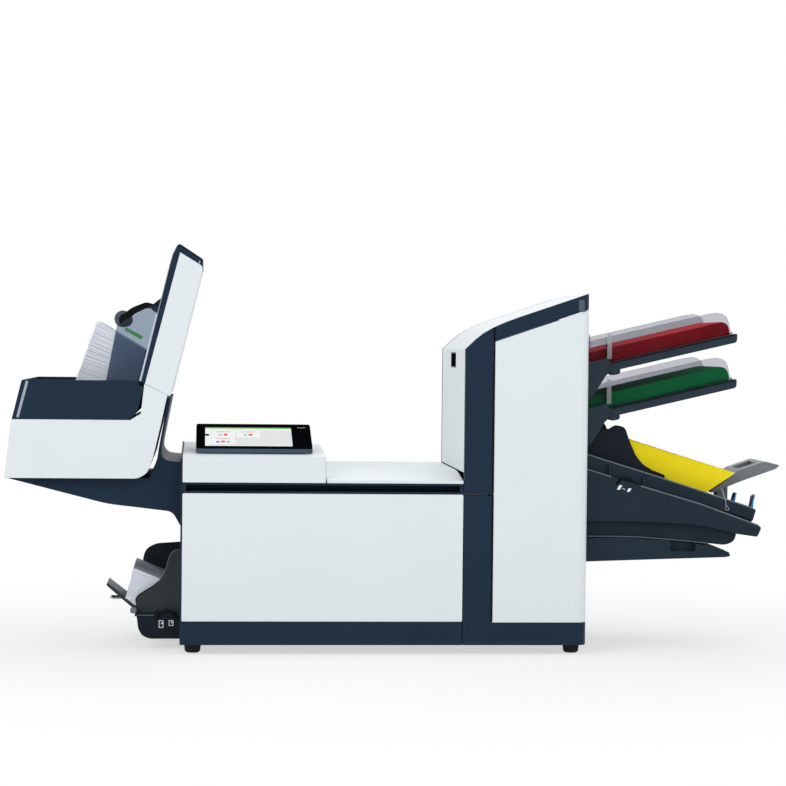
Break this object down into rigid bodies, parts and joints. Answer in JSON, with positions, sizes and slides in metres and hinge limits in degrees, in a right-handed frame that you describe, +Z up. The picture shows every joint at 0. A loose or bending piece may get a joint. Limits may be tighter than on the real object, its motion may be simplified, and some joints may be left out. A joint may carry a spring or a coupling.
{
  "type": "envelope inserting machine",
  "caption": "Desktop folding and inserting machine with a feeder tower, inclined document feeders, an envelope hopper and a high stacker, with a hinged door and hood.",
  "frame": {"origin": "centre of the bounding box at floor level", "axes": "+X along the machine to the document feeders, +Y to the back, +Z up"},
  "size_m": [1.4402, 0.423, 0.7354],
  "materials": {
    "white_plastic": "satin moulded",
    "navy_plastic": "fine textured",
    "charcoal_plastic": "fine textured",
    "black_plastic": "smooth",
    "grey_plastic": "smooth",
    "clear_plastic": "clear",
    "green_plastic": "smooth",
    "steel": "zinc plated sheet",
    "roller_rubber": "ground",
    "foot_rubber": "moulded",
    "red_paper": "uncoated",
    "green_paper": "uncoated",
    "yellow_paper": "uncoated",
    "white_paper": "uncoated envelopes"
  },
  "bodies": {
    "machine": {"deck_cover": "white_plastic", "console_housing": "white_plastic", "body_rear_cover": "white_plastic", "tower_front_panel": "white_plastic", "tower_rear_panel": "white_plastic", "stacker_bin": "white_plastic", "stacker_tower": "white_plastic", "body_pan": "navy_plastic", "tower_base": "navy_plastic", "maxi_body": "navy_plastic", "maxi_deck": "navy_plastic", "maxi_lower_tray": "navy_plastic", "stacker_chassis": "navy_plastic", "stacker_fence": "navy_plastic", "stacker_transport_plate": "navy_plastic", "red_tray": "charcoal_plastic", "green_tray": "charcoal_plastic", "feeder_bracket_front": "charcoal_plastic", "feeder_bracket_rear": "charcoal_plastic", "tower_end_cover": "charcoal_plastic", "display": "black_plastic", "power_inlet": "black_plastic", "hopper_base": "black_plastic", "stacker_guard": "clear_plastic", "front_side_frame": "steel", "rear_side_frame": "steel", "foot_front_left": "foot_rubber", "foot_front_right": "foot_rubber", "foot_rear_left": "foot_rubber", "foot_rear_right": "foot_rubber", "red_paper_stack": "red_paper", "green_paper_stack": "green_paper", "maxi_paper_stack": "yellow_paper", "hopper_envelopes": "white_paper", "stacker_envelopes": "white_paper"},
    "front_door": {"front_door": "white_plastic"},
    "hood": {"tower_hood": "white_plastic", "hood_frame": "navy_plastic"},
    "transport_knob": {"transport_knob": "green_plastic"},
    "fold_roller_lower": {"fold_roller_lower": "roller_rubber"},
    "fold_roller_upper": {"fold_roller_upper": "roller_rubber"},
    "red_feed_roller": {"red_feed_roller": "roller_rubber"},
    "green_feed_roller": {"green_feed_roller": "roller_rubber"},
    "red_guide_front": {"red_guide_front": "clear_plastic"},
    "red_guide_rear": {"red_guide_rear": "clear_plastic"},
    "green_guide_front": {"green_guide_front": "clear_plastic"},
    "green_guide_rear": {"green_guide_rear": "clear_plastic"},
    "maxi_width_wheel": {"maxi_width_wheel": "black_plastic"},
    "maxi_guide_front": {"maxi_guide_front": "navy_plastic"},
    "maxi_guide_rear": {"maxi_guide_rear": "navy_plastic"},
    "maxi_paper_support": {"maxi_paper_support": "grey_plastic"},
    "maxi_lever_1": {"maxi_lever_1": "black_plastic"},
    "maxi_lever_2": {"maxi_lever_2": "black_plastic"},
    "hopper_width_wheel": {"hopper_width_wheel": "black_plastic"},
    "hopper_guide_front": {"hopper_guide_front": "charcoal_plastic"},
    "hopper_guide_rear": {"hopper_guide_rear": "navy_plastic"},
    "hopper_slider": {"hopper_slider": "grey_plastic"},
    "stacker_arm": {"stacker_arm": "black_plastic"},
    "stacker_arm_roller": {"stacker_arm_roller": "roller_rubber"},
    "power_switch": {"power_switch": "black_plastic"}
  },
  "joints": [
    {"name": "front_door_hinge", "type": "hinge", "parent": "machine", "child": "front_door", "pos_m": [-0.14508, -0.2115, 0.0595], "axis": [1, 0, 0], "range_deg": [0, 90]},
    {"name": "hood_hinge", "type": "hinge", "parent": "machine", "child": "hood", "pos_m": [0.21792, 0.2025, 0.3], "axis": [-1, 0, 0], "range_deg": [0, 45]},
    {"name": "knob_spin", "type": "hinge", "parent": "machine", "child": "transport_knob", "pos_m": [-0.14883, -0.1715, 0.15], "axis": [0, 1, 0], "continuous": true},
    {"name": "fold_roller_lower_spin", "type": "hinge", "parent": "machine", "child": "fold_roller_lower", "pos_m": [-0.19508, -0.1715, 0.15], "axis": [0, 1, 0], "continuous": true},
    {"name": "fold_roller_upper_spin", "type": "hinge", "parent": "machine", "child": "fold_roller_upper", "pos_m": [-0.19508, -0.1715, 0.1825], "axis": [0, 1, 0], "continuous": true},
    {"name": "red_feed_roller_spin", "type": "hinge", "parent": "machine", "child": "red_feed_roller", "pos_m": [0.28292, -0.0015, 0.5435], "axis": [0, 1, 0], "continuous": true},
    {"name": "green_feed_roller_spin", "type": "hinge", "parent": "machine", "child": "green_feed_roller", "pos_m": [0.28292, -0.0015, 0.4597], "axis": [0, 1, 0], "continuous": true},
    {"name": "red_guide_front_slide", "type": "slide", "parent": "machine", "child": "red_guide_front", "axis": [0, -1, 0], "range_m": [0, 0.025]},
    {"name": "red_guide_rear_slide", "type": "slide", "parent": "machine", "child": "red_guide_rear", "axis": [0, 1, 0], "range_m": [0, 0.025]},
    {"name": "green_guide_front_slide", "type": "slide", "parent": "machine", "child": "green_guide_front", "axis": [0, -1, 0], "range_m": [0, 0.025]},
    {"name": "green_guide_rear_slide", "type": "slide", "parent": "machine", "child": "green_guide_rear", "axis": [0, 1, 0], "range_m": [0, 0.025]},
    {"name": "maxi_guide_front_slide", "type": "slide", "parent": "machine", "child": "maxi_guide_front", "axis": [0, -1, 0], "range_m": [0, 0.0148]},
    {"name": "maxi_guide_rear_slide", "type": "slide", "parent": "machine", "child": "maxi_guide_rear", "axis": [0, 1, 0], "range_m": [0, 0.015]},
    {"name": "maxi_width_wheel_turn", "type": "hinge", "parent": "machine", "child": "maxi_width_wheel", "pos_m": [0.40942, -0.1585, 0.3], "axis": [0, 1, 0], "range_deg": [0, 85]},
    {"name": "maxi_support_slide", "type": "slide", "parent": "machine", "child": "maxi_paper_support", "axis": [0.9595, 0, -0.2817], "range_m": [0, 0.011]},
    {"name": "maxi_lever_1_turn", "type": "hinge", "parent": "machine", "child": "maxi_lever_1", "pos_m": [0.62192, -0.0905, 0.2613], "axis": [0, 1, 0], "range_deg": [-15, 15]},
    {"name": "maxi_lever_2_turn", "type": "hinge", "parent": "machine", "child": "maxi_lever_2", "pos_m": [0.65592, -0.0905, 0.23764], "axis": [0, 1, 0], "range_deg": [-10, 15]},
    {"name": "hopper_guide_front_slide", "type": "slide", "parent": "machine", "child": "hopper_guide_front", "axis": [0, -1, 0], "range_m": [-0.00588, 0.00588]},
    {"name": "hopper_guide_rear_slide", "type": "slide", "parent": "machine", "child": "hopper_guide_rear", "axis": [0, 1, 0], "range_m": [-0.006, 0.006]},
    {"name": "hopper_width_wheel_turn", "type": "hinge", "parent": "machine", "child": "hopper_width_wheel", "pos_m": [-0.42958, -0.1285, 0.0485], "axis": [0, 1, 0], "range_deg": [-45, 45]},
    {"name": "hopper_slider_slide", "type": "slide", "parent": "machine", "child": "hopper_slider", "axis": [-1, 0, 0], "range_m": [0, 0.02]},
    {"name": "stacker_arm_hinge", "type": "hinge", "parent": "machine", "child": "stacker_arm", "pos_m": [-0.45558, -0.0905, 0.622], "axis": [0, 1, 0], "range_deg": [0, 40]},
    {"name": "stacker_arm_roller_spin", "type": "hinge", "parent": "stacker_arm", "child": "stacker_arm_roller", "pos_m": [-0.51508, -0.0775, 0.6015], "axis": [0, 1, 0], "continuous": true},
    {"name": "power_switch_rock", "type": "hinge", "parent": "machine", "child": "power_switch", "pos_m": [0.04492, 0.2065, 0.125], "axis": [1, 0, 0], "range_deg": [-6, 6]}
  ],
  "couplings": [
    {"joint": "fold_roller_lower_spin", "follows": "knob_spin", "ratio": -1.8462},
    {"joint": "fold_roller_upper_spin", "follows": "knob_spin", "ratio": 1.8462},
    {"joint": "red_guide_rear_slide", "follows": "red_guide_front_slide", "ratio": 1},
    {"joint": "green_guide_rear_slide", "follows": "green_guide_front_slide", "ratio": 1},
    {"joint": "maxi_guide_rear_slide", "follows": "maxi_guide_front_slide", "ratio": 1},
    {"joint": "maxi_width_wheel_turn", "follows": "maxi_guide_front_slide", "rad_per_m": 100},
    {"joint": "hopper_guide_rear_slide", "follows": "hopper_guide_front_slide", "ratio": 1},
    {"joint": "hopper_width_wheel_turn", "follows": "hopper_guide_front_slide", "rad_per_m": 133.33}
  ]
}
